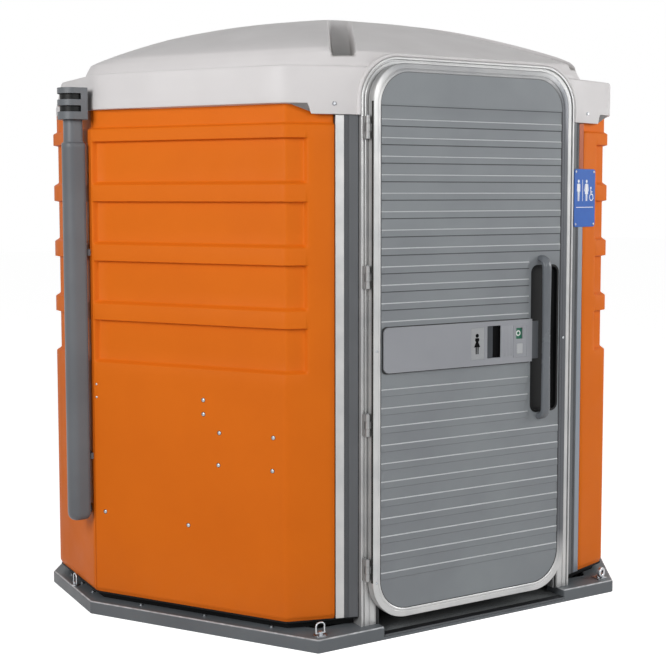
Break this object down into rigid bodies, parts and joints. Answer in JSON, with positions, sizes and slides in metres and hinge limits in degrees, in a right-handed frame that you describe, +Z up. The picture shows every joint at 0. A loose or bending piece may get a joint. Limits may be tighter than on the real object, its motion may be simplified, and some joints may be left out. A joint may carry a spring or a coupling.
{
  "type": "portable toilet cabin",
  "caption": "Wheelchair-accessible portable toilet cabin on a moulded tray, with a domed roof, a hinged ribbed door, a vent duct, and a seat, tank and fittings inside.",
  "frame": {"origin": "middle of the base tray's underside, on the ground", "axes": "+Z up, the door faces -Y, +X to the right of someone facing the door"},
  "size_m": [2.5544, 2.1273, 2.35],
  "materials": {
    "base_plastic": "moulded, fine grain",
    "black_plastic": "moulded, dark",
    "floor_plastic": "moulded, fine grain",
    "orange_plastic": "satin moulding",
    "roof_plastic": "translucent white moulding",
    "grey_plastic": "moulded, fine grain",
    "light_plastic": "satin moulding",
    "aluminium": "anodised, satin",
    "steel": "brushed",
    "zinc": "zinc plated",
    "rubber": "matte",
    "sign_blue": "smooth print",
    "picture": "smooth print",
    "flag": "smooth, two colours",
    "mirror": "polished",
    "paper": "soft"
  },
  "bodies": {
    "cabin": {"base_tray": "base_plastic", "floor_plate": "floor_plastic", "threshold_strip": "aluminium", "floor_sill": "black_plastic", "wall_front_left": "orange_plastic", "wall_front_right": "orange_plastic", "wall_left": "orange_plastic", "wall_right": "orange_plastic", "wall_back_left": "orange_plastic", "wall_back_right": "orange_plastic", "wall_back": "orange_plastic", "corner_posts": "aluminium", "door_posts": "grey_plastic", "cover_strips": "aluminium", "roof_shell": "roof_plastic", "roof_bolts": "zinc", "door_frame": "aluminium", "door_seal": "rubber", "strike_plate": "steel", "hinge_frame_leaves": "steel", "hinge_pins": "steel", "sign_plate": "sign_blue", "sign_rivets": "zinc", "vent_pipe": "grey_plastic", "vent_head": "grey_plastic", "vent_brackets": "grey_plastic", "vent_elbow": "grey_plastic", "waste_tank": "grey_plastic", "toilet_seat": "light_plastic", "lid_hinge_pin": "steel", "grab_bars": "steel", "grab_bar_flanges": "steel", "paper_holder": "steel", "paper_spindle": "light_plastic", "dispenser_body": "light_plastic", "mirror": "mirror", "coat_hook": "steel", "wall_rivets": "zinc", "ledge_screws": "zinc", "tie_down_eyes": "zinc"},
    "door": {"door_rim": "aluminium", "door_outer_skin": "grey_plastic", "door_inner_skin": "grey_plastic", "lock_plate": "grey_plastic", "pictogram_insert": "picture", "handle_tray": "black_plastic", "pull_handle": "grey_plastic", "inner_pull": "steel", "door_rivets": "zinc", "hinge_door_leaves": "steel", "latch_case": "grey_plastic"},
    "knob": {"latch_knob": "steel"},
    "bolt": {"latch_bolt": "steel"},
    "flag": {"indicator_flag": "flag"},
    "lid": {"toilet_lid": "light_plastic"},
    "roll_a": {"paper_roll_a": "paper"},
    "roll_b": {"paper_roll_b": "paper"},
    "push": {"dispenser_push": "light_plastic"},
    "ring_front": {"tie_ring_front": "zinc"},
    "ring_left": {"tie_ring_left": "zinc"}
  },
  "joints": [
    {"name": "door_hinge", "type": "hinge", "parent": "cabin", "child": "door", "pos_m": [-0.473, -1.02394, 1], "axis": [0, 0, -1], "range_deg": [0, 105]},
    {"name": "latch_turn", "type": "hinge", "parent": "door", "child": "knob", "pos_m": [0.32, -0.96744, 1.09], "axis": [0, 1, 0], "range_deg": [0, 90]},
    {"name": "bolt_slide", "type": "slide", "parent": "door", "child": "bolt", "axis": [1, 0, 0], "range_m": [0, 0.028]},
    {"name": "flag_slide", "type": "slide", "parent": "door", "child": "flag", "axis": [1, 0, 0], "range_m": [0, 0.028]},
    {"name": "lid_hinge", "type": "hinge", "parent": "cabin", "child": "lid", "pos_m": [-1.083, 0, 0.461], "axis": [0, -1, 0], "range_deg": [0, 100]},
    {"name": "roll_a_spin", "type": "hinge", "parent": "cabin", "child": "roll_a", "pos_m": [-0.73102, -0.77005, 0.688], "axis": [-0.5592, 0.829, 0], "continuous": true},
    {"name": "roll_b_spin", "type": "hinge", "parent": "cabin", "child": "roll_b", "pos_m": [-0.79029, -0.68217, 0.688], "axis": [-0.5592, 0.829, 0], "continuous": true},
    {"name": "dispenser_press", "type": "slide", "parent": "cabin", "child": "push", "axis": [1, 0, 0], "range_m": [0, 0.008], "stiffness_N_per_m": 400},
    {"name": "ring_front_swing", "type": "hinge", "parent": "cabin", "child": "ring_front", "pos_m": [-0.657, -1.003, 0.0595], "axis": [1, 0, 0], "range_deg": [-85, 90]},
    {"name": "ring_left_swing", "type": "hinge", "parent": "cabin", "child": "ring_left", "pos_m": [-1.22169, -0.01, 0.0595], "axis": [0, -1, 0], "range_deg": [-8, 90]}
  ],
  "couplings": [
    {"joint": "bolt_slide", "follows": "latch_turn", "m_per_rad": 0.017824},
    {"joint": "flag_slide", "follows": "latch_turn", "m_per_rad": 0.017824}
  ]
}
